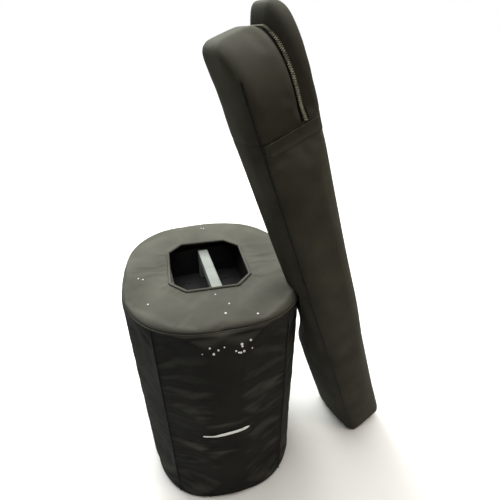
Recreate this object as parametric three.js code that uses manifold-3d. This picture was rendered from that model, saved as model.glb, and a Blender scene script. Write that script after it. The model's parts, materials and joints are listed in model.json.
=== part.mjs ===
// Column loudspeaker set in its travel covers: a floor-standing bass module under a fitted slip
// cover, and the padded zip bag of its line array leaning on the cover's rim.
// Millimetres, +Z up, the module's front faces -Y.
import * as THREE from 'three';
import { mergeVertices } from 'three/addons/utils/BufferGeometryUtils.js';
import Module from 'manifold-3d';

const wasm = await Module();
wasm.setup();

// ---------------------------------------------------------------- driving dimensions
const FIT = 0.3; // gap between pieces that touch
const OUTLINE_POWER = 2.674; // the rounded-box outline shared by the cabinet and its cover
const STAND = { x: -135.2, y: 3.7 }; // the module's place, which centres the whole set on the origin

const cabinet = { halfX: 160, halfY: 186, wall: 12, bottom: 20, top: 520 };
const tray = { halfX: 84, halfY: 100, wall: 4, floor: 465, top: 538, screwX: 46, screwY: 62 };
const foot = { radius: 17, height: 13, x: 105, y: 125 };
const handle = { width: 23, halfLength: 96, top: 540, thick: 22, leg: 18, edge: 2.5, bend: 12 };
const socket = { x: 0, y: 141, width: 104, depth: 54, wall: 6, bottom: 478, top: 544 };
const baffle = { halfX: 117, front: -130, back: -118, bottom: 22, top: 518 };
const woofer = { z: 318, flange: 114, throat: 100, roll: 84, magnet: 58, deep: -78, magnetEnd: -112 };
const port = { z: 112, radius: 34, wall: 3, length: 90 };
const grille = { halfX: 116, bottom: 40, top: 500, thick: 2.5 };
const panel = { halfX: 86, bottom: 50, top: 430, front: 151, thick: 3, window: 78, frame: 8 };
const rows = { jacks: 330, knobs: 260, buttons: 190, mains: 92 }; // heights on the control panel
const columns = {
  jacks: [-38, 38], knobs: [-52, 0, 52], buttons: [-52, -10], lineOut: 52, inlet: -35, rocker: 35,
};
const sink = { halfX: 76, bottom: 250, top: 400, base: 6, fin: 34, finThick: 3, pitch: 14 };

const cover = { halfX: 181, halfY: 205, wall: 5, hem: 3, seam: 540, top: 556, twist: -4.7 };
const seams = { front: 40.85, back: 41 }; // half angle of the front and of the back panel, degrees
const hole = { halfX: 84, halfY: 97, cornerX: 52, cornerY: 62, shiftX: -6 }; // octagon in the hood
const badge = { from: -107.2, to: -77.8, bottom: 257, top: 271, thick: 1.6 };

const bag = {
  width: 98, thin: 82, thick: 132, thickTo: 330, thinFrom: 480, wall: 5, round: 10, chamfer: 14,
  seam: 925, nearTop: 1044, farTop: 1068, pivot: 8, turn: 12.3, lean: 20.15, x: 372, y: -139,
};
const dent = { depth: 12, from: 470, low: 545, high: 600, to: 870 }; // where the rim presses in
const zip = { u: 63, half: 2.9, proud: 1, depth: 5, start: 931 };
const slider = { width: 13, thick: 5, height: 15, rest: 1012 };
const pullTab = { width: 8, thick: 1.6, length: 30 };
const array = { width: 72, side: 19, depth: 62, bottom: 14, top: 1000, plug: 12 };
const extension = { depth: 46, top: 310, divider: 2.7, dividerTop: 325 };

// ---------------------------------------------------------------- materials
const finish = (color, roughness, metalness = 0) =>
  new THREE.MeshStandardMaterial({ color, roughness, metalness });
const padded = finish(0x34342f, 0.85);
const paddedTop = finish(0x6a6a63, 0.85);
const bagCloth = finish(0x2f2f29, 0.85);
const webbing = finish(0x1d1d1b, 0.8);
const zipMetal = finish(0x8d8d88, 0.45, 0.6);
const zipTeeth = finish(0x4a4a46, 0.55);
const blackPlastic = finish(0x1c1c1d, 0.55);
const greyPlastic = finish(0xc3c9c1, 0.5);
const steel = finish(0x9a9b9a, 0.35, 1);
const rubber = finish(0x141414, 0.9);
const blackMetal = finish(0x18191a, 0.5, 0.5);
const paper = finish(0x222224, 0.9);
const board = finish(0x1f5a36, 0.6);
const aluminium = finish(0xa9acae, 0.4, 1);
const whiteMark = finish(0xf2f2f0, 0.6);

// ---------------------------------------------------------------- solid modelling helpers
function solid(geometry) {
  const bare = geometry.clone();
  bare.deleteAttribute('normal');
  bare.deleteAttribute('uv');
  const merged = mergeVertices(bare, 1e-3);
  const corners = [];
  const index = merged.index.array;
  for (let i = 0; i < index.length; i += 3) {
    const [a, b, c] = index.slice(i, i + 3);
    if (a !== b && b !== c && a !== c) corners.push(a, b, c);
  }
  const vertProperties = Float32Array.from(merged.attributes.position.array);
  return new wasm.Manifold(
    new wasm.Mesh({ numProp: 3, vertProperties, triVerts: Uint32Array.from(corners) }),
  );
}

function shell(manifold) {
  const mesh = manifold.getMesh();
  const geometry = new THREE.BufferGeometry();
  geometry.setAttribute('position', new THREE.BufferAttribute(mesh.vertProperties, 3));
  geometry.setIndex(new THREE.BufferAttribute(mesh.triVerts, 1));
  geometry.computeVertexNormals();
  return geometry;
}

function cut(base, ...tools) {
  return shell(tools.reduce((left, tool) => left.subtract(solid(tool)), solid(base)));
}
const join = (...parts) => shell(parts.map(solid).reduce((all, part) => all.add(part)));
const keep = (base, region) => shell(solid(base).intersect(solid(region)));

// A box given by its lowest and highest corner.
function block([x0, y0, z0], [x1, y1, z1]) {
  const box = new THREE.BoxGeometry(x1 - x0, y1 - y0, z1 - z0);
  return box.translate((x0 + x1) / 2, (y0 + y1) / 2, (z0 + z1) / 2);
}

// A cylinder from one height to another along Z.
function rod(radius, z0, z1, sides = 24) {
  return new THREE.CylinderGeometry(radius, radius, z1 - z0, sides).rotateX(Math.PI / 2)
    .translate(0, 0, (z0 + z1) / 2);
}

// A turned piece from [radius, height] points, which run up the outside.
function turned(profile, sides = 40) {
  const points = profile.map(([r, z]) => new THREE.Vector2(r, z));
  return new THREE.LatheGeometry(points, sides).rotateX(Math.PI / 2);
}

// Turns a piece modelled along +Z so that it points backwards (+Y) or forwards (-Y).
const backwards = (geometry) => geometry.rotateX(-Math.PI / 2);
const forwards = (geometry) => geometry.rotateX(Math.PI / 2);

// An upright plate from [x, y] points.
function plate(points, z0, z1, holes = []) {
  const outline = new THREE.Shape(points.map(([x, y]) => new THREE.Vector2(x, y)));
  for (const ring of holes) {
    outline.holes.push(new THREE.Path(ring.map(([x, y]) => new THREE.Vector2(x, y))));
  }
  const options = { depth: z1 - z0, bevelEnabled: false };
  return new THREE.ExtrudeGeometry(outline, options).translate(0, 0, z0);
}

// A point of the rounded-box outline in a given direction.
function outlinePoint(degrees, halfX, halfY) {
  const c = Math.cos(THREE.MathUtils.degToRad(degrees));
  const s = Math.sin(THREE.MathUtils.degToRad(degrees));
  const r = (Math.abs(c) ** OUTLINE_POWER + Math.abs(s) ** OUTLINE_POWER) ** (-1 / OUTLINE_POWER);
  return [halfX * r * c, halfY * r * s];
}

function outline(halfX, halfY, from = 0, to = 360, count = 64) {
  const closed = to - from === 360;
  const steps = closed ? count : count + 1;
  const at = (i) => outlinePoint(from + ((to - from) * i) / count, halfX, halfY);
  return Array.from({ length: steps }, (_, i) => at(i));
}

// A cap with the rounded-box outline, its upper edge rounded over.
function roundedCap(halfX, halfY, z0, z1, radius, sides = 64) {
  const steps = 4;
  const profile = [[0, z0], [1, z0]];
  for (let i = 0; i <= steps; i += 1) {
    const turn = (i / steps) * (Math.PI / 2);
    profile.push([1 - (radius / halfX) * (1 - Math.cos(turn)), z1 - radius * (1 - Math.sin(turn))]);
  }
  profile.push([0, z1]);
  const cap = turned(profile, sides);
  const position = cap.attributes.position;
  for (let i = 0; i < position.count; i += 1) {
    const [x, y] = [position.getX(i), position.getY(i)];
    const reach = Math.hypot(x, y);
    const [px, py] = outlinePoint(THREE.MathUtils.radToDeg(Math.atan2(y, x)), halfX, halfY);
    position.setXY(i, px * reach, py * reach);
  }
  return cap;
}

const root = new THREE.Group();
function place(group, name, geometry, material, position = [0, 0, 0]) {
  const mesh = new THREE.Mesh(geometry, material);
  mesh.name = name;
  mesh.position.set(...position);
  group.add(mesh);
}

// ---------------------------------------------------------------- bass module
function addCabinet(group) {
  const { halfX, halfY, wall, bottom, top } = cabinet;
  const inner = outline(halfX - wall, halfY - wall);
  const tube = plate(outline(halfX, halfY), bottom, top, [inner]);
  const frontWindow = block(
    [-grille.halfX - 1, -halfY - 5, grille.bottom - 1],
    [grille.halfX + 1, baffle.front - 1, grille.top + 1],
  );
  const rearWindow = block(
    [-panel.window, panel.front, panel.bottom + panel.frame],
    [panel.window, halfY + 5, panel.top - panel.frame],
  );
  place(group, 'cabinet_shell', cut(tube, frontWindow, rearWindow), blackPlastic);
  const base = plate(outline(halfX - 4, halfY - 4), foot.height, bottom - FIT);
  place(group, 'base_plate', base, blackPlastic);
  for (const [side, x] of [['left', -foot.x], ['right', foot.x]]) {
    for (const [end, y] of [['front', -foot.y], ['rear', foot.y]]) {
      place(group, `foot_${side}_${end}`, rod(foot.radius, 0, foot.height - FIT), rubber, [x, y, 0]);
    }
  }
}

function addTop(group) {
  const lip = 18;
  const deck = plate(outline(cabinet.halfX - 1, cabinet.halfY - 1), cabinet.top + FIT, tray.top);
  const outer = [tray.halfX + tray.wall, tray.halfY + tray.wall];
  const tub = block([-outer[0], -outer[1], tray.floor], [outer[0], outer[1], cabinet.top + lip]);
  const recess = block(
    [-tray.halfX, -tray.halfY, tray.floor + tray.wall],
    [tray.halfX, tray.halfY, tray.top + 5],
  );
  const seat = block(
    [socket.x - socket.width / 2 - FIT, socket.y - socket.depth / 2 - FIT, cabinet.top - 5],
    [socket.x + socket.width / 2 + FIT, socket.y + socket.depth / 2 + FIT, tray.top + 5],
  );
  place(group, 'top_plate', cut(join(deck, tub), recess, seat), blackPlastic);
  addHandle(group);
  addSocket(group);
}

function addHandle(group) {
  const { width, halfLength, top, thick, leg, edge, bend } = handle;
  const floor = tray.floor + tray.wall + FIT;
  const under = top - thick;
  const inner = halfLength - leg;
  const bar = new THREE.Shape();
  bar.moveTo(-halfLength, floor).lineTo(-halfLength, top - bend);
  bar.quadraticCurveTo(-halfLength, top, bend - halfLength, top);
  bar.lineTo(halfLength - bend, top);
  bar.quadraticCurveTo(halfLength, top, halfLength, top - bend).lineTo(halfLength, floor);
  bar.lineTo(inner, floor).lineTo(inner, under - bend);
  bar.quadraticCurveTo(inner, under, inner - bend, under).lineTo(bend - inner, under);
  bar.quadraticCurveTo(-inner, under, -inner, under - bend).lineTo(-inner, floor);
  const options = {
    depth: width - 2 * edge, bevelSize: edge, bevelOffset: -edge, bevelThickness: edge,
    bevelSegments: 2, curveSegments: 4,
  };
  const grip = new THREE.ExtrudeGeometry(bar, options);
  grip.rotateX(Math.PI / 2).rotateZ(Math.PI / 2).translate(edge - width / 2, 0, 0);
  place(group, 'handle_bar', grip, greyPlastic);
  [[-1, -1], [1, -1], [-1, 1], [1, 1]].forEach(([x, y], i) => {
    const screw = rod(4.5, floor, floor + 2.5, 16);
    place(group, `tray_screw_${i + 1}`, screw, steel, [x * tray.screwX, y * tray.screwY, 0]);
  });
}

function addSocket(group) {
  const { x, y, width, depth, wall, bottom, top } = socket;
  const body = block([x - width / 2, y - depth / 2, bottom], [x + width / 2, y + depth / 2, top]);
  const well = block(
    [x - width / 2 + wall, y - depth / 2 + wall, bottom + wall],
    [x + width / 2 - wall, y + depth / 2 - wall, top + 5],
  );
  place(group, 'array_socket', cut(body, well), blackMetal);
}

function addDriver(group) {
  const { halfX, front, back, bottom, top } = baffle;
  const at = (geometry, z) => forwards(geometry).translate(0, front, z);
  const driverHole = at(rod(woofer.throat + 3, -30, 30, 48), woofer.z);
  const portHole = at(rod(port.radius + FIT, -30, 30, 32), port.z);
  const face = block([-halfX, front, bottom], [halfX, back, top]);
  place(group, 'baffle', cut(face, driverHole, portHole), blackPlastic);

  const { flange, throat, roll, magnet, deep, magnetEnd } = woofer;
  const basket = [
    [magnet - 6, deep], [magnet + 2, deep], [throat, -10], [throat, FIT], [flange, FIT], [flange, 5],
    [throat, 5], [throat - 4, 0], [throat - 5, -8], [magnet - 6, deep + 4], [magnet - 6, deep],
  ];
  place(group, 'woofer_frame', at(turned(basket), woofer.z), blackMetal);
  const rear = rod(magnet, magnetEnd, deep - FIT, 40);
  place(group, 'woofer_magnet', at(rear, woofer.z), blackMetal);

  const middle = (roll + throat - 5) / 2;
  const surround = [
    [roll + 0.5, 5.3], [throat - 1, 5.3], [throat - 1, 7.3], [middle + 4, 12], [middle, 13],
    [middle - 4, 12], [roll + 0.5, 7.3], [roll + 0.5, 5.3],
  ];
  place(group, 'woofer_surround', at(turned(surround), woofer.z), rubber);
  const cone = [[0, -38], [24, -40], [roll, 4], [roll, 7], [26, -34], [18, -28], [0, -25]];
  place(group, 'woofer_cone', at(turned(cone), woofer.z), paper);

  const [bore, outer, rim] = [port.radius - port.wall, port.radius, port.radius + 6];
  const tube = [
    [bore, -port.length], [outer, -port.length], [outer, FIT], [rim, FIT], [rim, 4], [bore, 4],
    [bore, -port.length],
  ];
  place(group, 'port_tube', at(turned(tube), port.z), blackPlastic);
}

function addGrille(group) {
  const { halfX, halfY } = cabinet;
  const inside = outline(halfX - grille.thick, halfY - grille.thick);
  const skin = plate(outline(halfX, halfY), grille.bottom, grille.top, [inside]);
  const front = block(
    [-grille.halfX, -halfY - 5, grille.bottom - 5],
    [grille.halfX, baffle.front - 20, grille.top + 5],
  );
  place(group, 'front_grille', keep(skin, front), blackMetal);
}

function addControlPanel(group) {
  const back = panel.front + panel.thick;
  const plane = block([-panel.halfX, panel.front, panel.bottom], [panel.halfX, back, panel.top]);
  place(group, 'control_panel', plane, blackMetal);
  const fit = (name, geometry, material, x, z) => {
    place(group, name, backwards(geometry).translate(0, back + FIT, 0), material, [x, 0, z]);
  };

  columns.jacks.forEach((x, i) => {
    const jack = cut(block([-15, -15, 0], [15, 15, 8]), rod(10, 2, 12, 24));
    fit(`combo_jack_${i + 1}`, jack, blackPlastic, x, rows.jacks);
  });
  const lineOut = cut(rod(9, 0, 9), rod(3.3, 2, 12, 16));
  fit('line_out_jack', lineOut, steel, columns.lineOut, rows.buttons);
  const inlet = cut(block([-25, -16, 0], [25, 16, 9]), block([-13, -9, 2], [13, 9, 12]));
  fit('mains_inlet', inlet, blackPlastic, columns.inlet, rows.mains);
  const rocker = block([-8, -13, 2.4], [8, 13, 7.5]);
  fit('power_rocker', rocker, blackPlastic, columns.rocker, rows.mains);
  columns.knobs.forEach((x, i) => {
    const knob = join(rod(9, 0, 11, 24), block([-1, 0, 0], [1, 8, 12]));
    fit(`knob_${i + 1}`, knob, greyPlastic, x, rows.knobs);
  });
  columns.buttons.forEach((x, i) => {
    fit(`button_${i + 1}`, rod(6, 1.6, 7), greyPlastic, x, rows.buttons);
  });
}

function addElectronics(group) {
  const inside = panel.front - FIT;
  const { halfX, base, fin, finThick, pitch } = sink;
  const comb = [[-halfX, 0], [-halfX, base]];
  for (let x = pitch / 2 - halfX; x + finThick < halfX; x += pitch) {
    comb.push([x, base], [x, fin], [x + finThick, fin], [x + finThick, base]);
  }
  comb.push([halfX, base], [halfX, 0]);
  const fins = plate(comb.map(([x, y]) => [x, inside - y]), sink.bottom, sink.top);
  place(group, 'heat_sink', fins, aluminium);
  const circuit = block([-78, inside - 2, 170], [78, inside, 242]);
  place(group, 'amplifier_board', circuit, board);
  const supply = block([-70, inside - 48, 70], [70, inside, 160]);
  place(group, 'power_supply', supply, aluminium);
}

// ---------------------------------------------------------------- slip cover
// The cover narrows slightly towards the floor.
const taper = (z) => 1 - 0.026 * (1 - z / cover.top);

function sector(from, to, z0, z1, outside, thick) {
  const rim = outline(cover.halfX + outside, cover.halfY + outside, from, to, 20);
  const inset = outside - thick;
  const inner = outline(cover.halfX + inset, cover.halfY + inset, from, to, 20);
  const sheet = plate([...rim, ...inner.reverse()], z0, z1);
  const position = sheet.attributes.position;
  for (let i = 0; i < position.count; i += 1) {
    const scale = taper(position.getZ(i));
    position.setXY(i, position.getX(i) * scale, position.getY(i) * scale);
  }
  return sheet;
}

function octagon(inset) {
  const [x, y] = [hole.halfX - inset, hole.halfY - inset];
  const [cx, cy] = [hole.cornerX - inset / 2, hole.cornerY - inset / 2];
  const corners = [[x, -cy], [x, cy], [cx, y], [-cx, y], [-x, cy], [-x, -cy], [-cx, -y], [cx, -y]];
  return corners.map(([px, py]) => [px + hole.shiftX, py]);
}

function addCover(group) {
  const { halfX, halfY, wall, hem, seam, top } = cover;
  const cap = roundedCap(halfX, halfY, seam + FIT, top, 13);
  const under = plate(outline(halfX - wall, halfY - wall), seam - 5, top - wall);
  const mouth = plate(octagon(0), seam - 5, top + 5);
  place(group, 'cover_hood', cut(cap, under, mouth), paddedTop);
  const binding = plate(octagon(FIT), top - wall, top + 1, [octagon(5)]);
  place(group, 'hole_binding', binding, webbing);

  const split = 0.1;
  const sides = {
    front: [-90 - seams.front, -90 + seams.front],
    right: [-90 + seams.front, 90 - seams.back],
    back: [90 - seams.back, 90 + seams.back],
    left: [90 + seams.back, 270 - seams.front],
  };
  for (const [name, [from, to]] of Object.entries(sides)) {
    place(group, `cover_${name}`, sector(from + split, to - split, hem, seam, 0, wall), padded);
  }
  const { thick } = badge;
  const bar = sector(badge.from, badge.to, badge.bottom, badge.top, thick + FIT, thick);
  place(group, 'front_badge', bar, whiteMark);
}

// ---------------------------------------------------------------- array bag
// Bag pieces are modelled upright: X across the wide face, Y into the bag, Z up its length.
// Each one is a side outline of [y, z] points carried across the width, with rounded long edges.
function quilt(points, x0, x1, round) {
  const side = new THREE.Shape(points.map(([y, z]) => new THREE.Vector2(y, z)));
  const padding = new THREE.ExtrudeGeometry(side, {
    depth: x1 - x0 - 2 * round, bevelSize: round, bevelOffset: -round, bevelThickness: round,
    bevelSegments: 3,
  });
  return padding.rotateX(Math.PI / 2).rotateZ(Math.PI / 2).translate(x0 + round, 0, 0);
}

// A thin strip with square edges, from a side outline of [y, z] points.
function strip(points, x0, x1) {
  return plate(points, x0, x1).rotateX(Math.PI / 2).rotateZ(Math.PI / 2);
}

function addSleeve(group) {
  const { width, thin, thick, thickTo, thinFrom, wall, round, seam } = bag;
  const spare = 60;
  const outer = quilt([
    [0, 0], [thick, 0], [thick, thickTo], [thin, thinFrom], [thin, seam + spare], [0, seam + spare],
  ], 0, width, round);
  const inner = quilt([
    [wall, wall], [thick - wall, wall], [thick - wall, thickTo - 2], [thin - wall, thinFrom - 2],
    [thin - wall, seam + 2 * spare], [wall, seam + 2 * spare],
  ], wall + dent.depth, width - wall, round / 2);
  const above = block([-20, -20, seam], [width + 20, thick + 20, seam + 3 * spare]);
  const pressed = [
    [-20, dent.from], [0, dent.from], [dent.depth, dent.low], [dent.depth, dent.high], [0, dent.to],
    [-20, dent.to],
  ];
  const rimDent = plate(pressed, -20, thick + 20).rotateX(Math.PI / 2).translate(0, thick, 0);
  place(group, 'bag_sleeve', cut(outer, inner, above, rimDent), bagCloth);
  const band = block([round, -FIT - 1.5, seam - 22], [width - round, -FIT, seam]);
  place(group, 'cross_band', band, webbing);
}

// One half of the bag's top: a padded lobe, open below and towards the zip.
function lobe(x0, x1, top, openFrom, openTo) {
  const { width, thin, wall, round, seam, nearTop, chamfer } = bag;
  const outer = quilt([
    [0, seam - 60], [thin, seam - 60], [thin, top - chamfer], [thin - chamfer, top],
    [chamfer, top], [0, top - chamfer],
  ], x0, x1, round);
  const pocket = block([openFrom, wall, seam - 80], [openTo, thin - wall, nearTop - chamfer]);
  const below = block([-20, -20, seam - 100], [width + 20, thin + 20, seam + FIT]);
  return cut(outer, pocket, below);
}

function addFlaps(group) {
  const { width, wall, round, seam, nearTop, farTop } = bag;
  const nearEdge = zip.u - zip.half - FIT;
  const farEdge = zip.u + zip.half + FIT;
  const near = lobe(0, nearEdge + round, nearTop, wall, nearEdge + 2 * round);
  const far = lobe(farEdge - round, width, farTop, farEdge - 2 * round, width - wall);
  const between = (x0, x1) => block([x0, -20, seam - 10], [x1, 200, farTop + 50]);
  place(group, 'near_flap', keep(near, between(-20, nearEdge)), bagCloth);
  place(group, 'far_flap', keep(far, between(farEdge, width + 20)), bagCloth);
}

function chainOutline(out) {
  const { thin, nearTop, chamfer } = bag;
  const [low, high] = [zip.start, nearTop + out];
  return [
    [-out, low], [-out, high - chamfer], [chamfer - out, high], [thin - chamfer + out, high],
    [thin + out, high - chamfer], [thin + out, low],
  ];
}

function addZip(group) {
  const ring = [...chainOutline(zip.proud), ...chainOutline(zip.proud - zip.depth).reverse()];
  const tape = zip.half - FIT / 2;
  const [x0, x1] = [zip.u - zip.half, zip.u + zip.half];
  place(group, 'zip_chain_near', strip(ring, x0, x0 + tape), zipTeeth);
  place(group, 'zip_chain_far', strip(ring, x1 - tape, x1), zipTeeth);
}

// The zip is closed, its slider parked at the back of the bag's top.
function addSlider(group) {
  const { width, thick, height, rest } = slider;
  const face = bag.thin + zip.proud + FIT;
  const body = block([-width / 2, 0, 0], [width / 2, thick, height]);
  place(group, 'zip_slider', body, zipMetal, [zip.u, face, rest]);
  const lift = thick + FIT;
  const tab = block(
    [-pullTab.width / 2, lift, height - pullTab.length],
    [pullTab.width / 2, lift + pullTab.thick, height],
  );
  place(group, 'pull_tab', tab, zipMetal, [zip.u, face, rest]);
}

function addArrays(group) {
  const [x0, x1] = [array.side, array.side + array.width];
  const y0 = bag.wall + 4;
  const y1 = y0 + array.depth;
  const foot0 = array.bottom + array.plug;
  place(group, 'array_housing', block([x0, y0, foot0], [x1, y1, array.top]), blackPlastic);
  const mesh = block([x0 + 4, y0 - 2.3, 60], [x1 - 4, y0 - FIT, array.top - 20]);
  place(group, 'array_grille', mesh, blackMetal);
  const plug = block([x0 + 8, y0 + 10, array.bottom], [x1 - 8, y1 - 10, foot0 - FIT]);
  place(group, 'array_plug', plug, blackMetal);

  const padEnd = y1 + FIT + extension.divider;
  const pad = block([x0, y1 + FIT, array.plug], [x1, padEnd, extension.dividerTop]);
  place(group, 'divider_pad', pad, webbing);
  const e0 = padEnd + FIT;
  const e1 = Math.min(e0 + extension.depth, bag.thick - bag.wall - 2);
  place(group, 'extension_housing', block([x0, e0, foot0], [x1, e1, extension.top]), blackPlastic);
  const spigot = block([x0 + 10, e0 + 8, array.bottom], [x1 - 10, e1 - 8, foot0 - FIT]);
  place(group, 'extension_plug', spigot, blackMetal);
}

// ---------------------------------------------------------------- the whole set
const moduleGroup = new THREE.Group();
moduleGroup.position.set(STAND.x, STAND.y, 0);
root.add(moduleGroup);
addCabinet(moduleGroup);
addTop(moduleGroup);
addDriver(moduleGroup);
addGrille(moduleGroup);
addControlPanel(moduleGroup);
addElectronics(moduleGroup);

const coverGroup = new THREE.Group();
coverGroup.position.copy(moduleGroup.position);
coverGroup.rotation.z = THREE.MathUtils.degToRad(cover.twist);
root.add(coverGroup);
addCover(coverGroup);

const heading = new THREE.Group();
heading.position.set(STAND.x + bag.x, STAND.y + bag.y, bag.pivot);
heading.rotation.z = THREE.MathUtils.degToRad(bag.turn);
root.add(heading);
const leaning = new THREE.Group();
leaning.rotation.y = -THREE.MathUtils.degToRad(bag.lean);
heading.add(leaning);
const bagGroup = new THREE.Group();
bagGroup.position.set(-bag.pivot, 0, -bag.pivot);
leaning.add(bagGroup);
addSleeve(bagGroup);
addFlaps(bagGroup);
addZip(bagGroup);
addSlider(bagGroup);
addArrays(bagGroup);

export default root;
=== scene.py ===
import json
import math

import bmesh
import bpy
from mathutils import Matrix, Vector
from mathutils.bvhtree import BVHTree


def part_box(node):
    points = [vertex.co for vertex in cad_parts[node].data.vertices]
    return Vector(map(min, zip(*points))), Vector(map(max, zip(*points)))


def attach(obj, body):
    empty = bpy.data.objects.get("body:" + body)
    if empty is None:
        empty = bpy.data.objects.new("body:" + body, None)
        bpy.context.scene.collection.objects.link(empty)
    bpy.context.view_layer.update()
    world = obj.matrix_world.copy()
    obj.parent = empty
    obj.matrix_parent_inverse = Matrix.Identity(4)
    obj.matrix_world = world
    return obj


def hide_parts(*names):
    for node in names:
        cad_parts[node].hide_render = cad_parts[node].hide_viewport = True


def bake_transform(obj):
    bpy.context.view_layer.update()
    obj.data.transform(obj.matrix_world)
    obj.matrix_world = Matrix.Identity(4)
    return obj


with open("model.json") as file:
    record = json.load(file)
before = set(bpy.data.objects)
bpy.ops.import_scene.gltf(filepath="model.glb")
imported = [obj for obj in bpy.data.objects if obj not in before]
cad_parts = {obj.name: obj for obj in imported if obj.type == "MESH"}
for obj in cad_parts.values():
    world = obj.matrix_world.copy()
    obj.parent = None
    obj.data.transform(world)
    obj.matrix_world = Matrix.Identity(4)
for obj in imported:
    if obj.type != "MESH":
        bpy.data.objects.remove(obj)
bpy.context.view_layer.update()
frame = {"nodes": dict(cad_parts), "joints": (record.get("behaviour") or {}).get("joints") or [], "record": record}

scene = bpy.context.scene
MM = 0.001

# ---------------------------------------------------------------- places taken from the frame
joints = {joint["name"]: joint for joint in frame["joints"]}
BAG_UP = -Vector(joints["zip_run"]["axis"])
BAG_ACROSS = Vector(joints["pull_tab_swing"]["axis"])
BAG_INTO = BAG_UP.cross(BAG_ACROSS)
BAG_SEAM = 925 * MM  # where the lobes of the bag's top begin, up the bag
BAG_THIN = 82 * MM  # its depth at the top
BAG_THICK_EXTRA = 60 * MM  # how much deeper the lower part of the bag is
SKIN_LOW = Vector((-17, -2, 0)) * MM  # the padding stands proud of the bag's rigid core
SKIN_SIZE = Vector((114, 94, 1044)) * MM
lobe_hinge = Vector(joints["near_flap_open"]["pos_m"])
bag_origin = lobe_hinge - BAG_INTO * BAG_THIN / 2 - BAG_UP * BAG_SEAM
BAG = Matrix.Translation(bag_origin) @ Matrix((BAG_ACROSS, BAG_INTO, BAG_UP)).transposed().to_4x4()

base_low, base_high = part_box("base_plate")
STAND = Vector(((base_low.x + base_high.x) / 2, (base_low.y + base_high.y) / 2, 0))
TWIST = math.radians(-4.7)  # how far the cover is turned on the module
COVER = Matrix.Translation(STAND) @ Matrix.Rotation(TWIST, 4, "Z")
COVER_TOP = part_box("cover_hood")[1].z
HOOD_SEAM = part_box("cover_hood")[0].z
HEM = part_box("cover_front")[0].z
HALF_X = 183 * MM
HALF_Y = 207 * MM
OUTLINE_POWER = 2.674  # 2 is an ellipse, and more is squarer
TAPER = 0.026  # the share by which the floor end is narrower than the top
HOLE = Vector((-6 * MM, 0, 0))  # middle of the octagon, then its half size and its cut corners
HOLE_HALF = Vector((84 * MM, 97 * MM, 0))
HOLE_CORNER = Vector((52 * MM, 62 * MM, 0))
SEAM_ANGLES = (  # where the side panels are sewn together, in degrees around the cover
    -90 - 40.85, -90 + 40.85, 90 - 41, 90 + 41,
)
ZIP_U = 63 * MM  # the zip, across the bag


# ---------------------------------------------------------------- materials
def linear(hexadecimal):
    """A colour's sRGB hex value as linear red, green, blue and alpha."""
    parts = [int(hexadecimal[i:i + 2], 16) / 255 for i in (0, 2, 4)]
    return [p / 12.92 if p <= 0.04045 else ((p + 0.055) / 1.055) ** 2.4 for p in parts] + [1]


def add(tree, kind, values=None, **settings):
    """Adds a node with its settings; a value that is a socket is linked, any other is set."""
    made = tree.nodes.new(kind)
    for name, setting in settings.items():
        setattr(made, name, setting)
    for name, value in (values or {}).items():
        if isinstance(value, bpy.types.NodeSocket):
            tree.links.new(value, made.inputs[name])
        else:
            made.inputs[name].default_value = value
    return made


def start(name, **values):
    """A new material with its shader set, and the object coordinates that its patterns read."""
    material = bpy.data.materials.new(name)
    material.use_nodes = True
    tree = material.node_tree
    shader = tree.nodes["Principled BSDF"]
    for socket, value in values.items():
        shader.inputs[socket.replace("_", " ")].default_value = value
    return material, tree, shader, add(tree, "ShaderNodeTexCoord").outputs["Object"]


def per_metre(millimetres):
    """Texture scale that repeats a pattern every so many millimetres."""
    return 1000 / millimetres


def waves_per_metre(millimetres):
    """The same for a wave texture, whose bands come about 6.3 to each unit of scale."""
    return per_metre(millimetres) / 6.3


def mottled(tree, where, dark, light, size_mm, low=0.35, high=0.65):
    """Two shades of one colour, in soft patches of a given size."""
    noise = add(tree, "ShaderNodeTexNoise", {"Vector": where, "Scale": per_metre(size_mm), "Detail": 4})
    ramp = add(tree, "ShaderNodeValToRGB", {"Fac": noise.outputs["Fac"]})
    ramp.color_ramp.elements[0].position = low
    ramp.color_ramp.elements[1].position = high
    ramp.color_ramp.elements[0].color = linear(dark)
    ramp.color_ramp.elements[1].color = linear(light)
    return ramp.outputs["Color"]


def bumped(tree, shader, height, depth_mm, strength=1.0, under=None):
    """Raises a pattern on the surface, over an earlier bump if one is given."""
    values = {"Height": height, "Distance": depth_mm * MM, "Strength": strength}
    if under is not None:
        values["Normal"] = under
    bump = add(tree, "ShaderNodeBump", values)
    tree.links.new(bump.outputs["Normal"], shader.inputs["Normal"])
    return bump.outputs["Normal"]


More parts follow.
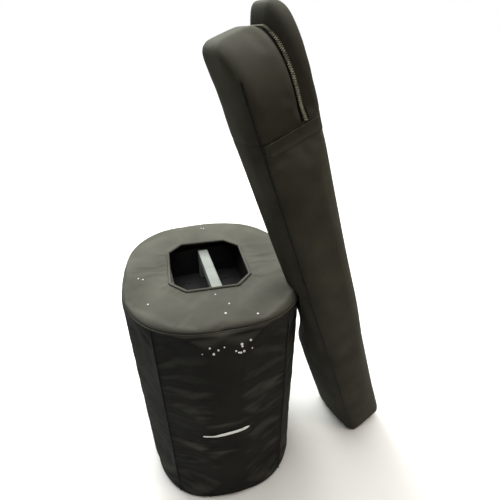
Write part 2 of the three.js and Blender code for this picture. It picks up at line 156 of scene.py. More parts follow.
def padded_nylon(name, dark, light):
    """Coated pack nylon over thin foam: near black and dull, with painted top light: the faces that look up
    are mixed towards a paler grey. The 0.5 mm threads of its plain weave are drawn at 1.4 mm so that they show."""
    material, tree, shader, where = start(name, Roughness=0.8, Specular_IOR_Level=0.04)
    # Painted top light: the more a face looks up, the more it takes the paler grey, standing for the light and
    # sheen from above.
    facing = add(tree, "ShaderNodeNewGeometry").outputs["Normal"]
    height = add(tree, "ShaderNodeSeparateXYZ", {"Vector": facing}).outputs["Z"]
    top_light_share = add(tree, "ShaderNodeMapRange", {"Value": height, "From Min": -0.02, "From Max": 0.75})
    cloth = mottled(tree, where, dark, light, 90)
    painted_top_light = mottled(tree, where, "52524c", "61615a", 110)
    mix = add(tree, "ShaderNodeMix", {"Factor": top_light_share.outputs["Result"]}, data_type="RGBA")
    tree.links.new(cloth, mix.inputs["A"])
    tree.links.new(painted_top_light, mix.inputs["B"])
    tree.links.new(mix.outputs["Result"], shader.inputs["Base Color"])
    pitch = waves_per_metre(1.4)
    rows = add(tree, "ShaderNodeTexWave", {"Vector": where, "Scale": pitch}, bands_direction="Z")
    slant = add(tree, "ShaderNodeMapping", {"Vector": where, "Rotation": (0, 0, math.radians(45))})
    columns = add(tree, "ShaderNodeTexWave", {"Vector": slant.outputs["Vector"], "Scale": pitch})
    crossing = {0: rows.outputs["Fac"], 1: columns.outputs["Fac"]}
    weave = add(tree, "ShaderNodeMath", crossing, operation="MULTIPLY")
    folds = add(tree, "ShaderNodeTexNoise", {"Vector": where, "Scale": per_metre(80), "Detail": 2})
    creased = bumped(tree, shader, folds.outputs["Fac"], 8, 0.3)
    bumped(tree, shader, weave.outputs["Value"], 0.2, 0.4, under=creased)
    return material


def ribbed_webbing():
    """Woven polypropylene tape: close ribs across a matt black band."""
    material, tree, shader, where = start("ribbed_webbing", Roughness=0.75, Specular_IOR_Level=0.2)
    tree.links.new(mottled(tree, where, "0c0c0c", "161615", 12), shader.inputs["Base Color"])
    wave = {"Vector": where, "Scale": waves_per_metre(2)}
    ribs = add(tree, "ShaderNodeTexWave", wave, bands_direction="DIAGONAL")
    bumped(tree, shader, ribs.outputs["Fac"], 0.4, 0.6)
    return material


def moulded_abs(name, dark, light, roughness):
    """Moulded ABS: a fine spark-eroded grain of about 1 mm that scatters the highlights."""
    material, tree, shader, where = start(name, Roughness=roughness)
    tree.links.new(mottled(tree, where, dark, light, 30), shader.inputs["Base Color"])
    grain = add(tree, "ShaderNodeTexVoronoi", {"Vector": where, "Scale": per_metre(1.1)})
    bumped(tree, shader, grain.outputs["Distance"], 0.12, 0.35)
    return material


def powder_coat():
    """Powder-coated steel: orange-peel waves of about 3 mm under a satin black."""
    material, tree, shader, where = start("powder_coat", Roughness=0.42)
    tree.links.new(mottled(tree, where, "111213", "1c1d1f", 40), shader.inputs["Base Color"])
    peel = add(tree, "ShaderNodeTexNoise", {"Vector": where, "Scale": per_metre(3), "Detail": 2})
    bumped(tree, shader, peel.outputs["Fac"], 0.15, 0.4)
    return material


def punched_grille():
    """Punched steel sheet: staggered holes about 4 mm apart, seen as dark dots in satin black."""
    material, tree, shader, where = start("punched_grille", Roughness=0.4)
    holes = add(tree, "ShaderNodeTexVoronoi", {"Vector": where, "Scale": per_metre(4.2), "Randomness": 0.0})
    ramp = add(tree, "ShaderNodeValToRGB", {"Fac": holes.outputs["Distance"]})
    ramp.color_ramp.elements[0].position = 0.36
    ramp.color_ramp.elements[1].position = 0.42
    ramp.color_ramp.elements[0].color = linear("050505")
    ramp.color_ramp.elements[1].color = linear("232426")
    tree.links.new(ramp.outputs["Color"], shader.inputs["Base Color"])
    bumped(tree, shader, ramp.outputs["Color"], 0.8, 0.7)
    return material


def rubber_compound():
    """Vulcanised rubber: deep black, dull, with a faint bloom in patches."""
    material, tree, shader, where = start("rubber_compound", Roughness=0.85)
    tree.links.new(mottled(tree, where, "0e0e0e", "1b1b1a", 8), shader.inputs["Base Color"])
    return material


def turned_metal(name, dark, light, roughness):
    """Machined metal: fine turning marks stretched one way."""
    material, tree, shader, where = start(name, Roughness=roughness, Metallic=1.0)
    tree.links.new(mottled(tree, where, dark, light, 6), shader.inputs["Base Color"])
    drawn = add(tree, "ShaderNodeMapping", {"Vector": where, "Scale": (1, 1, 14)})
    marks = add(tree, "ShaderNodeTexNoise", {"Vector": drawn.outputs["Vector"], "Scale": per_metre(4)})
    bumped(tree, shader, marks.outputs["Fac"], 0.08, 0.4)
    return material


def pulp_cone():
    """Pressed paper pulp: felted fibres of 2 to 3 mm, quite matt."""
    material, tree, shader, where = start("pulp_cone", Roughness=0.9)
    tree.links.new(mottled(tree, where, "19191b", "29292c", 5), shader.inputs["Base Color"])
    fibres = add(tree, "ShaderNodeTexNoise", {"Vector": where, "Scale": per_metre(2.5), "Detail": 5})
    bumped(tree, shader, fibres.outputs["Fac"], 0.3, 0.5)
    return material


def solder_mask():
    """Lacquered circuit board: green gloss, paler where copper lies under it."""
    material, tree, shader, where = start("solder_mask", Roughness=0.3)
    tree.links.new(mottled(tree, where, "17452a", "2c6e45", 5, 0.45, 0.55), shader.inputs["Base Color"])
    return material


def nylon_coil():
    """Moulded nylon zip teeth: olive grey, lighter in patches where they have worn."""
    material, tree, shader, where = start("nylon_coil", Roughness=0.4)
    tree.links.new(mottled(tree, where, "5c5b4c", "9a9984", 4), shader.inputs["Base Color"])
    return material


def printed_vinyl():
    """Heat-pressed white vinyl: flat, slightly soft white with a faint weave printed through."""
    material, tree, shader, where = start("printed_vinyl", Roughness=0.5)
    tree.links.new(mottled(tree, where, "e6e6e2", "f4f4f2", 6), shader.inputs["Base Color"])
    wave = {"Vector": where, "Scale": waves_per_metre(1.4)}
    weave = add(tree, "ShaderNodeTexWave", wave, bands_direction="Z")
    bumped(tree, shader, weave.outputs["Fac"], 0.1, 0.3)
    return material


def studio_paper():
    """Seamless white paper for the floor, with its faint fibre."""
    material, tree, shader, where = start("studio_paper", Roughness=1.0)
    tree.links.new(mottled(tree, where, "fdfdfd", "ffffff", 300), shader.inputs["Base Color"])
    return material


# The hood's nylon is a lit copy of the cover's nylon: its lighter colours are painted light from the lamps above.
LIT_HOOD_NYLON = padded_nylon("hood_nylon", "262623", "2e2e2a")
COVER_NYLON = padded_nylon("cover_nylon", "1c1c1a", "242421")
BAG_NYLON = padded_nylon("bag_nylon", "302f29", "3b3a32")
WEBBING = ribbed_webbing()
BLACK_ABS = moulded_abs("moulded_black_abs", "171718", "222223", 0.5)
LIGHT_ABS = moulded_abs("moulded_light_abs", "7c827d", "898f89", 0.5)
POWDER = powder_coat()
GRILLE = punched_grille()
RUBBER = rubber_compound()
STEEL = turned_metal("turned_steel", "8a8b8b", "a6a7a6", 0.3)
ALUMINIUM = turned_metal("satin_aluminium", "9c9fa1", "b4b7b9", 0.42)
NICKEL = turned_metal("nickel_plate", "8f8f8a", "b0b0aa", 0.28)
PULP = pulp_cone()
BOARD = solder_mask()
TEETH = nylon_coil()
VINYL = printed_vinyl()

SLOT_LOOKS = {
    "black_plastic": BLACK_ABS, "black_metal": POWDER, "rubber": RUBBER, "grey_plastic": LIGHT_ABS,
    "steel": STEEL, "cone_paper": PULP, "aluminium": ALUMINIUM, "circuit_board": BOARD,
    "hood_nylon": LIT_HOOD_NYLON, "cover_nylon": COVER_NYLON, "webbing": WEBBING, "badge_print": VINYL,
    "bag_nylon": BAG_NYLON, "zip_teeth": TEETH, "zip_metal": NICKEL,
}


def dress_cad_nodes():
    """Gives every CAD node that stays the material of its slot."""
    for subpart in frame["record"]["subparts"]:
        node = frame["nodes"][subpart["node"]]
        look = GRILLE if "grille" in node.name else SLOT_LOOKS[subpart["material_slot"]]
        node.data.materials.clear()
        node.data.materials.append(look)


# ---------------------------------------------------------------- mesh helpers
def bevelled(bm, edges, offset, segments):
    bmesh.ops.bevel(
        bm, geom=edges, offset=offset, segments=segments, profile=0.5, affect="EDGES", material=-1,
    )


def double_sheet(bm, thickness):
    """Makes a sheet two layers, joined at its edges. They part along the normals that the mesh
    had before its points were moved, so they lie closer together than the thickness says."""
    bmesh.ops.solidify(bm, geom=bm.faces[:], thickness=thickness)
    bmesh.ops.recalc_face_normals(bm, faces=bm.faces)


def finish_piece(name, bm, matrix, look, body, smooth=True):
    """Turns a bmesh into a piece that rides on a body, its place in its mesh."""
    bmesh.ops.transform(bm, matrix=matrix, verts=bm.verts)
    mesh = bpy.data.meshes.new(name)
    bm.to_mesh(mesh)
    bm.free()
    piece = bpy.data.objects.new(name, mesh)
    scene.collection.objects.link(piece)
    mesh.materials.append(look)
    for polygon in mesh.polygons:
        polygon.use_smooth = smooth
    if body:
        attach(piece, body)
    return piece


def clamp(value, low, high):
    return max(low, min(high, value))


def ease(low, high, value):
    """0 below low and 1 above high, with a smooth step between them."""
    t = clamp((value - low) / (high - low), 0, 1)
    return t * t * (3 - 2 * t)


def settle(piece, held, grow, pressure, most):
    """Cloth simulation: a skin cut a little too large finds its folds between its held seams."""
    frames = 14
    start_places = [vertex.co.copy() for vertex in piece.data.vertices]
    group = piece.vertex_groups.new(name="held")
    for index, weight in held.items():
        group.add([index], weight, "REPLACE")
    cloth = piece.modifiers.new("cloth", "CLOTH")
    settings = cloth.settings
    settings.quality = 4
    settings.mass = 0.15
    settings.tension_stiffness = 12
    settings.compression_stiffness = 12
    settings.shear_stiffness = 4
    settings.bending_stiffness = 0.35
    settings.vertex_group_mass = "held"
    settings.use_pressure = True
    settings.uniform_pressure_force = pressure
    settings.shrink_min = -grow
    settings.shrink_max = -grow
    settings.effector_weights.gravity = 0
    cloth.collision_settings.use_collision = False
    cloth.point_cache.frame_start = 1
    cloth.point_cache.frame_end = frames
    for number in range(1, frames + 1):
        scene.frame_set(number)
    top_light_share = piece.evaluated_get(bpy.context.evaluated_depsgraph_get()).data
    moved = [vertex.co.copy() for vertex in top_light_share.vertices]
    piece.modifiers.remove(cloth)
    piece.vertex_groups.remove(group)
    for vertex, before, after in zip(piece.data.vertices, start_places, moved):
        shift = after - before
        reach = shift.length
        vertex.co = before + shift * (min(1, most / reach) if reach else 1)
    scene.frame_set(1)


def smooth_skin(piece, thick):
    """Gives a skin its thickness, inwards, and one step of subdivision."""
    wall = piece.modifiers.new("wall", "SOLIDIFY")
    wall.thickness = thick
    wall.offset = -1
    wall.use_even_offset = False
    soft = piece.modifiers.new("soft", "SUBSURF")
    soft.levels = soft.render_levels = 1


def surface_of(piece):
    """The piece's faces, to find points on it."""
    mesh = piece.data
    return BVHTree.FromPolygons([v.co for v in mesh.vertices], [p.vertices for p in mesh.polygons])


def laid_on(surface, start_at, direction, proud, otherwise):
    """Where a ray meets a surface, lifted off it by a little, or another place if it misses."""
    place, _, _, _ = surface.ray_cast(start_at, direction)
    if place is None:
        return otherwise
    return place - direction * proud


def tube(name, points, radius, look, body, closed=False):
    """A round cord or piping along points, as a curve."""
    curve = bpy.data.curves.new(name, "CURVE")
    curve.dimensions = "3D"
    curve.bevel_depth = radius
    curve.bevel_resolution = 3
    curve.use_fill_caps = True
    spline = curve.splines.new("POLY")
    spline.points.add(len(points) - 1)
    for point, place in zip(spline.points, points):
        point.co = (*place, 1)
    spline.use_cyclic_u = closed
    spline.use_smooth = True
    piece = bpy.data.objects.new(name, curve)
    scene.collection.objects.link(piece)
    curve.materials.append(look)
    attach(piece, body)
    return piece


# ---------------------------------------------------------------- slip cover
def outline_point(angle, half_x, half_y):
    """A point of the rounded-box outline in a given direction, in radians."""
    c, s = math.cos(angle), math.sin(angle)
    reach = (abs(c) ** OUTLINE_POWER + abs(s) ** OUTLINE_POWER) ** (-1 / OUTLINE_POWER)
    return Vector((half_x * reach * c, half_y * reach * s, 0))


def narrowing(z):
    """How much narrower the cover is at a height than at its top."""
    return 1 - TAPER * (1 - z / COVER_TOP)


def cover_point(angle, z, proud=0.0):
    """A point of the cover's side, in the cover's own frame."""
    narrow = narrowing(z)
    place = outline_point(angle, (HALF_X + proud) * narrow, (HALF_Y + proud) * narrow)
    return Vector((place.x, place.y, z))


def hole_point(angle, inset=0.0):
    """Where a ray from the hole's centre meets the octagon."""
    c, s = math.cos(angle), math.sin(angle)
    half_x, half_y = HOLE_HALF.x - inset, HOLE_HALF.y - inset
    cut_x, cut_y = HOLE_CORNER.x - inset / 2, HOLE_CORNER.y - inset / 2
    slope = Vector((half_y - cut_y, half_x - cut_x, 0)).normalized()
    limit = slope.x * half_x + slope.y * cut_y
    reach = min(
        half_x / max(abs(c), 1e-6), half_y / max(abs(s), 1e-6),
        limit / max(slope.x * abs(c) + slope.y * abs(s), 1e-6),
    )
    return HOLE + Vector((reach * c, reach * s, 0))


def wrapped_grid(columns, rows, place):
    """A closed ring of quads: place(turn, height) gives each point, both from 0 to 1."""
    bm = bmesh.new()
    bmesh.ops.create_grid(bm, x_segments=columns, y_segments=rows, size=0.5)
    for vertex in bm.verts:
        vertex.co = place(vertex.co.x + 0.5, vertex.co.y + 0.5)
    bmesh.ops.remove_doubles(bm, verts=bm.verts, dist=1e-5)
    bmesh.ops.recalc_face_normals(bm, faces=bm.faces)
    return bm


def radial(angle, z):
    """A ray that comes in from outside the cover, square to its outline."""
    outside = cover_point(angle, z, 60 * MM)
    inward = cover_point(angle, z) - outside
    return outside, inward.normalized()


def add_cover_sides():
    def place(turn, height):
        return cover_point(turn * math.tau, HEM + height * (HOOD_SEAM + 3 * MM - HEM))

    bm = wrapped_grid(190, 80, place)
    piece = finish_piece("cover_side_panels", bm, Matrix(), COVER_NYLON, "cover")
    held = {}
    for vertex in piece.data.vertices:
        angle = math.degrees(math.atan2(vertex.co.y / HALF_Y, vertex.co.x / HALF_X))
        gap = min(abs((angle - seam + 180) % 360 - 180) for seam in SEAM_ANGLES)
        if gap < 1 or vertex.co.z > HOOD_SEAM or vertex.co.z < HEM + 4 * MM:
            held[vertex.index] = 1.0
    settle(piece, held, 0.016, 0.3, 8 * MM)
    surface = surface_of(piece)
    piece.data.transform(COVER)
    smooth_skin(piece, 4 * MM)
    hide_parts("cover_front", "cover_right", "cover_back", "cover_left")
    return surface


def hood_point(turn, height):
    """From the edge of the hole (0) over the shoulder to the seam under the rim (1)."""
    angle = turn * math.tau
    shoulder = 18 * MM
    top = COVER_TOP + 1 * MM
    edge = hole_point(angle)
    rim = outline_point(angle, HALF_X - shoulder, HALF_Y - shoulder)
    flat = 0.7
    if height < flat:
        t = height / flat
        place = edge.lerp(rim, t)
        return Vector((place.x, place.y, top + 2.5 * MM * math.sin(t * math.pi) - 1 * MM * (1 - t)))
    t = (height - flat) / (1 - flat)
    bend = t * math.pi / 2
    inset = shoulder * (1 - math.sin(bend))
    out = outline_point(angle, HALF_X - inset, HALF_Y - inset)
    return Vector((out.x, out.y, top - (top - HOOD_SEAM - 1 * MM) * (1 - math.cos(bend))))


def add_hood():
    bm = wrapped_grid(200, 24, hood_point)
    piece = finish_piece("cover_hood_skin", bm, Matrix(), LIT_HOOD_NYLON, "cover")
    held = {}
    for vertex in piece.data.vertices:
        angle = math.atan2(vertex.co.y, vertex.co.x - HOLE.x)
        at_hole = (vertex.co - hole_point(angle)).to_2d().length < 2 * MM
        if at_hole or vertex.co.z < HOOD_SEAM + 2 * MM:
            held[vertex.index] = 1.0
    settle(piece, held, 0.012, 0.2, 5 * MM)
    surface = surface_of(piece)
    piece.data.transform(COVER)
    smooth_skin(piece, 4 * MM)
    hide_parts("cover_hood")
    return surface


def add_cover_trim():
    """Piping on every seam, and the bound edge of the hole."""
    steps = 120
    seam = HOOD_SEAM + 1 * MM
    ring = [COVER @ cover_point(i / steps * math.tau, seam, 0.6 * MM) for i in range(steps)]
    # The hood's piping takes the lit hood nylon: its paler grey is a painted highlight of the top light.
    tube("hood_piping", ring, 1.7 * MM, LIT_HOOD_NYLON, "cover", closed=True)
    for number, degrees in enumerate(SEAM_ANGLES):
        heights = [HEM + (HOOD_SEAM - HEM) * i / 40 for i in range(41)]
        line = [COVER @ cover_point(math.radians(degrees), z, 0.4 * MM) for z in heights]
        tube(f"side_piping_{number + 1}", line, 1.5 * MM, WEBBING, "cover")
    steps, lift = 160, Vector((0, 0, COVER_TOP))
    edge = [COVER @ (hole_point(i / steps * math.tau, 1 * MM) + lift) for i in range(steps)]
    # The hole's binding takes the lit hood nylon too: a painted highlight along its edge.
    binding = tube("hole_edge_binding", edge, 3.4 * MM, LIT_HOOD_NYLON, "cover", closed=True)
    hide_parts("hole_binding")


def add_badge(surface):
    """A plain printed bar, a little bowed, laid on the front panel."""
    left_end, length = -107.2, 29.4  # in degrees around the cover
    bm = bmesh.new()
    bmesh.ops.create_grid(bm, x_segments=60, y_segments=4, size=0.5)
    for vertex in bm.verts:
        along, up = vertex.co.x + 0.5, vertex.co.y
        width = 8 * MM * (0.4 + 0.6 * ease(0.1, 0.5, along)) * (1 - 0.7 * ease(0.9, 1, along))
        z = 260 * MM + 9 * MM * along ** 2 + up * width
        angle = math.radians(left_end + length * (along + up * 0.03))
        start_at, inward = radial(angle, z)
        vertex.co = laid_on(surface, start_at, inward, 2.2 * MM, cover_point(angle, z, 5 * MM))
    double_sheet(bm, 1.2 * MM)
    piece = finish_piece("front_bar_print", bm, COVER, VINYL, "cover")
    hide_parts("front_badge")


def add_paint_specks(sides, hood):
    """Drops of dried white paint: along the top of the front panel, and a few on the hood."""
    panel = (  # across, up and radius, in millimetres
        (-44, 499, 1.2), (-30, 513, 2.0), (-24, 498, 2.6), (-15, 506, 1.9), (-4, 511, 1.5),
        (17, 497, 2.0), (22, 492, 1.8), (26, 491, 2.2), (28, 511, 2.8), (29, 506, 2.2),
        (32, 493, 2.3), (45, 515, 2.4), (48, 492, 1.9),
    )
    top = (  # across, back and radius, in millimetres
        (17, -152, 1.9), (64, -186, 2.2), (6, -178, 2.2), (-4, -116, 1.5), (-143, -32, 1.7),
        (-152, -28, 1.7), (-132, -115, 1.8), (5, 168, 1.8), (-1, 170, 1.6),
    )
    bm = bmesh.new()
    for x, z, radius in panel:
        place = laid_on(sides, Vector((x, -300, z)) * MM, Vector((0, 1, 0)), 0, None)
        squashed = Matrix.Translation(place) @ Matrix.Diagonal((radius * MM, 1 * MM, radius * MM * 1.2, 1))
        bmesh.ops.create_icosphere(bm, subdivisions=2, radius=1, matrix=squashed)
    for x, y, radius in top:
        place = laid_on(hood, Vector((x, y, 700)) * MM, Vector((0, 0, -1)), 0, None)
        squashed = Matrix.Translation(place) @ Matrix.Diagonal((radius * MM, radius * MM, 0.8 * MM, 1))
        bmesh.ops.create_icosphere(bm, subdivisions=2, radius=1, matrix=squashed)
    finish_piece("paint_specks", bm, COVER, VINYL, "cover")


# ---------------------------------------------------------------- array bag
def box_grid(size, step):
    """A box from the origin, cut into squares of about one size."""
    bm = bmesh.new()
    bmesh.ops.create_cube(bm, size=1)
    from_corner = Matrix.Diagonal((*size, 1)) @ Matrix.Translation((0.5, 0.5, 0.5))
    bmesh.ops.transform(bm, matrix=from_corner, verts=bm.verts)
    for axis in range(3):
        along = [e for e in bm.edges if abs((e.verts[0].co - e.verts[1].co)[axis]) > 1e-4]
        cuts = max(1, round(size[axis] / step) - 1)
        bmesh.ops.subdivide_edges(bm, edges=along, cuts=cuts, use_grid_fill=True)
    return bm


def rounded(place, size, radius):
    """Draws a point of a box in, where it is on an edge or a corner, onto a rounding."""
    core = Vector([clamp(place[i], radius, size[i] - radius) for i in range(3)])
    out = place - core
    return core + out.normalized() * radius if out.length > 1e-7 else place


def extra_depth(z):
    """How much deeper than its top the bag is, at a height up the bag."""
    return BAG_THICK_EXTRA * (1 - ease(300 * MM, 500 * MM, z))


def bag_shape(place):
    """The bag's outline: thicker below, two lobes above with the zip in the valley between."""
    u, y, z = place
    middle = BAG_THIN / 2
    zip_end = BAG_SEAM - (74 * MM if y > middle else 4 * MM)
    valley = math.exp(-(((u - ZIP_U) / (9 * MM)) ** 2)) * ease(zip_end, zip_end + 30 * MM, z)
    y += extra_depth(z) * (y - SKIN_LOW.y) / SKIN_SIZE.y
    y = middle + (y - middle) * (1 - (0.16 if y > middle else 0.12) * valley)
    if z > BAG_SEAM:
        lobe_top = 1054 * MM + 18 * MM * ease(ZIP_U - 5 * MM, ZIP_U + 8 * MM, u)
        share = (z - BAG_SEAM) / (SKIN_SIZE.z - BAG_SEAM)
        y += 36 * MM * share ** 4 * (1 - (y - SKIN_LOW.y) / SKIN_SIZE.y)
        z = BAG_SEAM + share * (lobe_top - BAG_SEAM - 16 * MM * valley)
    return Vector((u, y, z))


def clear_of_cover(place):
    """Moves a point of the bag that is inside the cover's rim out of it, across the bag."""
    turned = COVER.inverted() @ BAG
    gap = 2 * MM
    while True:
        inside = turned @ place
        narrow = narrowing(inside.z)
        x, y = inside.x / ((HALF_X + gap) * narrow), inside.y / ((HALF_Y + gap) * narrow)
        if inside.z > COVER_TOP + gap or abs(x) ** OUTLINE_POWER + abs(y) ** OUTLINE_POWER > 1:
            return place
        place = place + Vector((0.5 * MM, 0, 0))


def above_floor(place):
    """The same point of the bag, but never lower than the floor."""
    world = BAG @ place
    world.z = max(world.z, 0.5 * MM)
    return BAG.inverted() @ world


def add_bag():
    """The bag's skin, settled as one piece and then parted. Gives the surface for its details."""
    bm = box_grid(SKIN_SIZE, 7 * MM)
    for vertex in bm.verts:
        vertex.co = bag_shape(rounded(vertex.co, SKIN_SIZE, 17 * MM) + SKIN_LOW)
    bmesh.ops.recalc_face_normals(bm, faces=bm.faces)
    whole = finish_piece("bag_sleeve_skin", bm, Matrix(), BAG_NYLON, "bag")
    held = {}
    for vertex in whole.data.vertices:
        u, y, z = vertex.co
        zip_end = BAG_SEAM - (72 * MM if y > BAG_THIN / 2 else 2 * MM)
        on_zip = abs(u - ZIP_U) < 8 * MM and z > zip_end
        on_band = y < 0 and BAG_SEAM - 22 * MM < z < BAG_SEAM - 2 * MM
        held[vertex.index] = 1.0 if on_zip or on_band or z < 6 * MM else 0.05
    settle(whole, held, 0.012, 0.8, 7 * MM)
    for vertex in whole.data.vertices:
        vertex.co = above_floor(clear_of_cover(vertex.co))
    surface = surface_of(whole)
    split_bag(whole)
    return surface


def part_of(whole, belongs):
    """The faces of a piece whose middles pass a test."""
    bm = bmesh.new()
    bm.from_mesh(whole.data)
    others = [f for f in bm.faces if not belongs(f.calc_center_median())]
    bmesh.ops.delete(bm, geom=others, context="FACES")
    return bm


def split_bag(whole):
    """Parts the skin at the seam and at the zip into the sleeve and two lobes, each lobe a piece of its own."""
    parts = {
        "near_lobe_skin": ("near_flap", lambda c: c.z > BAG_SEAM and c.x < ZIP_U),
        "far_lobe_skin": ("far_flap", lambda c: c.z > BAG_SEAM and c.x >= ZIP_U),
    }
    for name, (node, belongs) in parts.items():
        lobe = finish_piece(name, part_of(whole, belongs), BAG, BAG_NYLON, None)
        smooth_skin(lobe, 3 * MM)
        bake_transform(lobe)
        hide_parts(node)
    bm = part_of(whole, lambda c: c.z <= BAG_SEAM + 9 * MM)
    middle, drawn_in = SKIN_LOW + SKIN_SIZE / 2, 0.96
    for vertex in bm.verts:
        if vertex.co.z > BAG_SEAM + 1 * MM:
            vertex.co.x = middle.x + (vertex.co.x - middle.x) * drawn_in
            vertex.co.y = middle.y + (vertex.co.y - middle.y) * drawn_in
    bmesh.ops.transform(bm, matrix=BAG, verts=bm.verts)
    bm.to_mesh(whole.data)
    bm.free()
    smooth_skin(whole, 3 * MM)
    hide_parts("bag_sleeve")


def zip_path(surface, out):
    """Points up the front of the valley, over its top and down the back, laid on the skin."""
    middle, high, low = BAG_THIN / 2, 985 * MM, BAG_SEAM + 2 * MM
    to_back, to_front = Vector((0, 1, 0)), Vector((0, -1, 0))
    rays = [(Vector((ZIP_U, -60 * MM, low + (high - low) * i / 20)), to_back) for i in range(20)]
    for i in range(41):
        turn = math.pi * i / 40
        inward = Vector((0, math.cos(turn), -math.sin(turn)))
        rays.append((Vector((ZIP_U, middle, high)) - inward * 200 * MM, inward))
    rays += [(Vector((ZIP_U, 150 * MM, high - (high - low) * i / 20)), to_front) for i in range(1, 21)]
    places = [laid_on(surface, origin, inward, out, None) for origin, inward in rays]
    return [place for place in places if place is not None]


def walk(points, pitch):
    """Places at even steps along points, each with its direction."""
    carried = 0.0
    for a, b in zip(points, points[1:]):
        span = (b - a).length
        while carried < span:
            yield a.lerp(b, carried / span), (b - a).normalized()
            carried += pitch
        carried -= span


def zip_teeth(path, side):
    """The teeth of one side of the zip: every other one along its path."""
    across = Vector((1, 0, 0))
    tooth = Matrix.Diagonal((3.4 * MM, 2.2 * MM, 1.3 * MM, 1))
    bm = bmesh.new()
    for number, (place, along) in enumerate(walk(path, 1.5 * MM)):
        if number % 2 == (side > 0):
            continue
        turned = Matrix((across, across.cross(along), along)).transposed().to_4x4()
        turned.translation = place + Vector((side * 1.1 * MM, 0, 0))
        bmesh.ops.create_cube(bm, size=1, matrix=turned @ tooth)
    bevelled(bm, bm.edges[:], 0.35 * MM, 1)
    return bm


def zip_tape(path, side):
    """The cloth tape that carries one side's teeth."""
    bm = bmesh.new()
    rows = []
    for place, _ in walk(path, 6 * MM):
        rows.append([bm.verts.new(place + Vector((side * x * MM, 0, 0))) for x in (0.4, 7)])
    for one, two in zip(rows, rows[1:]):
        bm.faces.new((one[0], one[1], two[1], two[0]))
    double_sheet(bm, 0.6 * MM)
    return bm


def add_zip(surface):
    crowns, cloth = zip_path(surface, 2.6 * MM), zip_path(surface, 1.2 * MM)
    for side, which in ((-1, "near"), (1, "far")):
        body = f"{which}_flap"
        bm = zip_teeth(crowns, side)
        teeth = finish_piece(f"zip_teeth_{which}", bm, BAG, TEETH, body, smooth=False)
        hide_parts(f"zip_chain_{which}")
        finish_piece(f"zip_tape_{which}", zip_tape(cloth, side), BAG, WEBBING, body)


def add_slider():
    """A die-cast slider body with a raised bridge, and a long pull tab with a slot."""
    face = BAG_THIN + 1.3 * MM

    def plate(y, z, size):
        """A block's place out from the face and up the bag, and its size, in millimetres."""
        place = Matrix.Translation((ZIP_U, face + y * MM, z * MM))
        return place @ Matrix.Diagonal((*(Vector(size) * MM), 1))

    bm = bmesh.new()
    bmesh.ops.create_cube(bm, size=1, matrix=plate(1.6, 1019.5, (12, 3, 14)))
    for vertex in bm.verts:
        if vertex.co.z < 1016 * MM:
            vertex.co.x = ZIP_U + (vertex.co.x - ZIP_U) * 0.62
    bmesh.ops.create_cube(bm, size=1, matrix=plate(3.9, 1020, (3.4, 2, 11)))
    bevelled(bm, bm.edges[:], 0.7 * MM, 2)
    body = finish_piece("zip_slider_casting", bm, BAG, NICKEL, "zip_slider")
    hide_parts("zip_slider")
    bm = bmesh.new()
    bmesh.ops.create_cube(bm, size=1, matrix=plate(6.1, 1012, (8, 1.4, 30)))
    upright = [e for e in bm.edges if abs((e.verts[0].co - e.verts[1].co).y) > 1e-4]
    bevelled(bm, upright, 2.6 * MM, 4)
    flats = [f for f in bm.faces if abs(f.normal.y) > 0.9]
    bmesh.ops.inset_individual(bm, faces=flats, thickness=1.6 * MM, depth=-0.35 * MM)
    tab = finish_piece("pull_tab_plate", bm, BAG, NICKEL, "pull_tab", smooth=False)
    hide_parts("pull_tab")


def add_cross_band(surface):
    """The reinforcing band that ends the zip, with a turned edge above and below."""
    bm = bmesh.new()
    bmesh.ops.create_grid(bm, x_segments=40, y_segments=6, size=0.5)
    for vertex in bm.verts:
        along, up = vertex.co.x + 0.5, vertex.co.y + 0.5
        u = SKIN_LOW.x + 7 * MM + along * (SKIN_SIZE.x - 14 * MM)
        z = BAG_SEAM - 22 * MM + up * 20 * MM
        edge = 1.2 * MM + 0.8 * MM * (2 * up - 1) ** 4
        in_front = Vector((u, -60 * MM, z))
        vertex.co = laid_on(surface, in_front, Vector((0, 1, 0)), edge, Vector((u, 0, z)))
    double_sheet(bm, 1.5 * MM)
    band = finish_piece("cross_band_tape", bm, BAG, BAG_NYLON, "bag")
    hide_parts("cross_band")


def add_bag_piping(surface):
    """Black piping along the long edges of the narrow face that leans on the cover."""
    low, rear = SKIN_LOW.x, SKIN_LOW.y + SKIN_SIZE.y
    sleeve = (20 * MM, BAG_SEAM - 2 * MM)
    lobe = (BAG_SEAM + 1 * MM, BAG_SEAM + 84 * MM)
    edges = (
        ("front", "bag", SKIN_LOW.y, 1, sleeve), ("rear", "bag", rear, -1, sleeve),
        ("lobe_front", "near_flap", SKIN_LOW.y, 1, lobe), ("lobe_rear", "near_flap", rear, -1, lobe),
    )
    for name, body, y, push, (bottom, top) in edges:
        points = []
        for i in range(121):
            z = bottom + (top - bottom) * i / 120
            deeper = extra_depth(z) if push < 0 else 0
            diagonal = Vector((1, push, 0)).normalized()
            origin = Vector((low, y + deeper, z)) - diagonal * 30 * MM
            points.append(BAG @ laid_on(surface, origin, diagonal, 0.6 * MM, Vector((low, y, z))))
        tube(f"bag_piping_{name}", points, 1.9 * MM, WEBBING, body)


# ---------------------------------------------------------------- studio
def add_sheet(name, matrix, size, look):
    """A flat square of the studio."""
    bm = bmesh.new()
    bmesh.ops.create_grid(bm, x_segments=1, y_segments=1, size=size / 2)
    bmesh.ops.transform(bm, matrix=matrix, verts=bm.verts)
    mesh = bpy.data.meshes.new(name)
    bm.to_mesh(mesh)
    bm.free()
    sheet = bpy.data.objects.new(name, mesh)
    scene.collection.objects.link(sheet)
    mesh.materials.append(look)


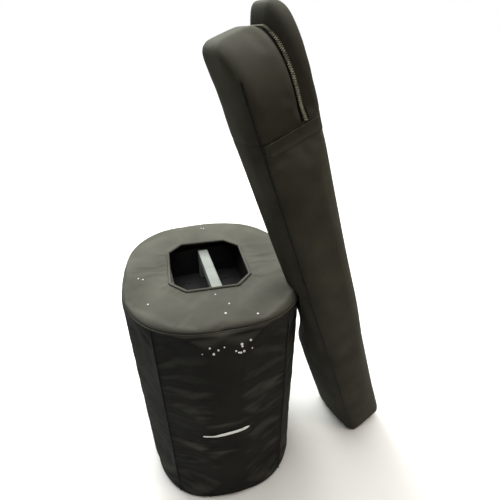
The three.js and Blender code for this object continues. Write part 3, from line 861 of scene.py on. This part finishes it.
def add_light(name, place, aim, size, power, colour):
    lamp = bpy.data.lights.new(name, "AREA")
    lamp.size = size
    lamp.energy = power
    lamp.color = linear(colour)[:3]
    light = bpy.data.objects.new(name, lamp)
    light.location = place
    light.rotation_euler = (Vector(aim) - Vector(place)).to_track_quat("-Z", "Y").to_euler()
    scene.collection.objects.link(light)


def add_flag(name, place, facing, size):
    """A black cloth on a frame, beside the view, that keeps its side of the fabric dark."""
    turn = Vector(facing).to_track_quat("Z", "Y").to_matrix().to_4x4()
    add_sheet(name, Matrix.Translation(place) @ turn, size, WEBBING)


def add_studio():
    add_sheet("studio_floor", Matrix(), 80, studio_paper())
    world = bpy.data.worlds.new("white_room")
    world.use_nodes = True
    world.node_tree.nodes["Background"].inputs["Color"].default_value = linear("ffffff")
    world.node_tree.nodes["Background"].inputs["Strength"].default_value = 1.0
    scene.world = world
    add_light("rear_softbox", (-0.6, 2.2, 2.1), (-0.1, 0, 0.6), 1.8, 75, "fdfff6")
    add_light("top_softbox", (-0.3, 0.3, 2.8), (-0.1, 0, 0.4), 2.4, 34, "fffdf6")
    add_light("warm_side", (1.8, -1.6, 1.4), (0.1, 0, 0.5), 0.8, 14, "ffe6c0")
    sky = bpy.data.lights.new("even_sky", "SUN")
    sky.energy, sky.angle = 0.6, math.radians(60)
    scene.collection.objects.link(bpy.data.objects.new("even_sky", sky))
    add_flag("flag_behind_camera", (0, -2.6, 1.6), (0, 1, 0), 6)
    add_flag("flag_left", (-2.1, -0.6, 1.6), (1, 0, 0), 4)
    add_flag("flag_right", (2.5, -1.4, 1.6), (-1, 0, 0), 4)
    scene.view_settings.view_transform = "Standard"


def add_camera():
    camera = bpy.data.cameras.new("camera")
    camera.lens, camera.sensor_width = 27, 36
    view = bpy.data.objects.new("camera", camera)
    yaw, pitch, roll = math.radians(17.12), math.radians(30.31), math.radians(0.29)
    forward = Vector((math.sin(yaw) * math.cos(pitch), math.cos(yaw) * math.cos(pitch), -math.sin(pitch)))
    right = Vector((math.cos(yaw), -math.sin(yaw), 0))
    down = forward.cross(right)
    across = right * math.cos(roll) + down * math.sin(roll)
    below = down * math.cos(roll) - right * math.sin(roll)
    turn = Matrix((across, -below, -forward)).transposed().to_4x4()
    view.matrix_world = Matrix.Translation(STAND + Vector((-0.1212, -0.6945, 0.9975))) @ turn
    scene.collection.objects.link(view)
    scene.camera = view


dress_cad_nodes()
add_camera()
add_studio()
cover_sides = add_cover_sides()
cover_hood = add_hood()
add_cover_trim()
add_badge(cover_sides)
add_paint_specks(cover_sides, cover_hood)
bag_skin = add_bag()
add_zip(bag_skin)
add_slider()
add_cross_band(bag_skin)
add_bag_piping(bag_skin)
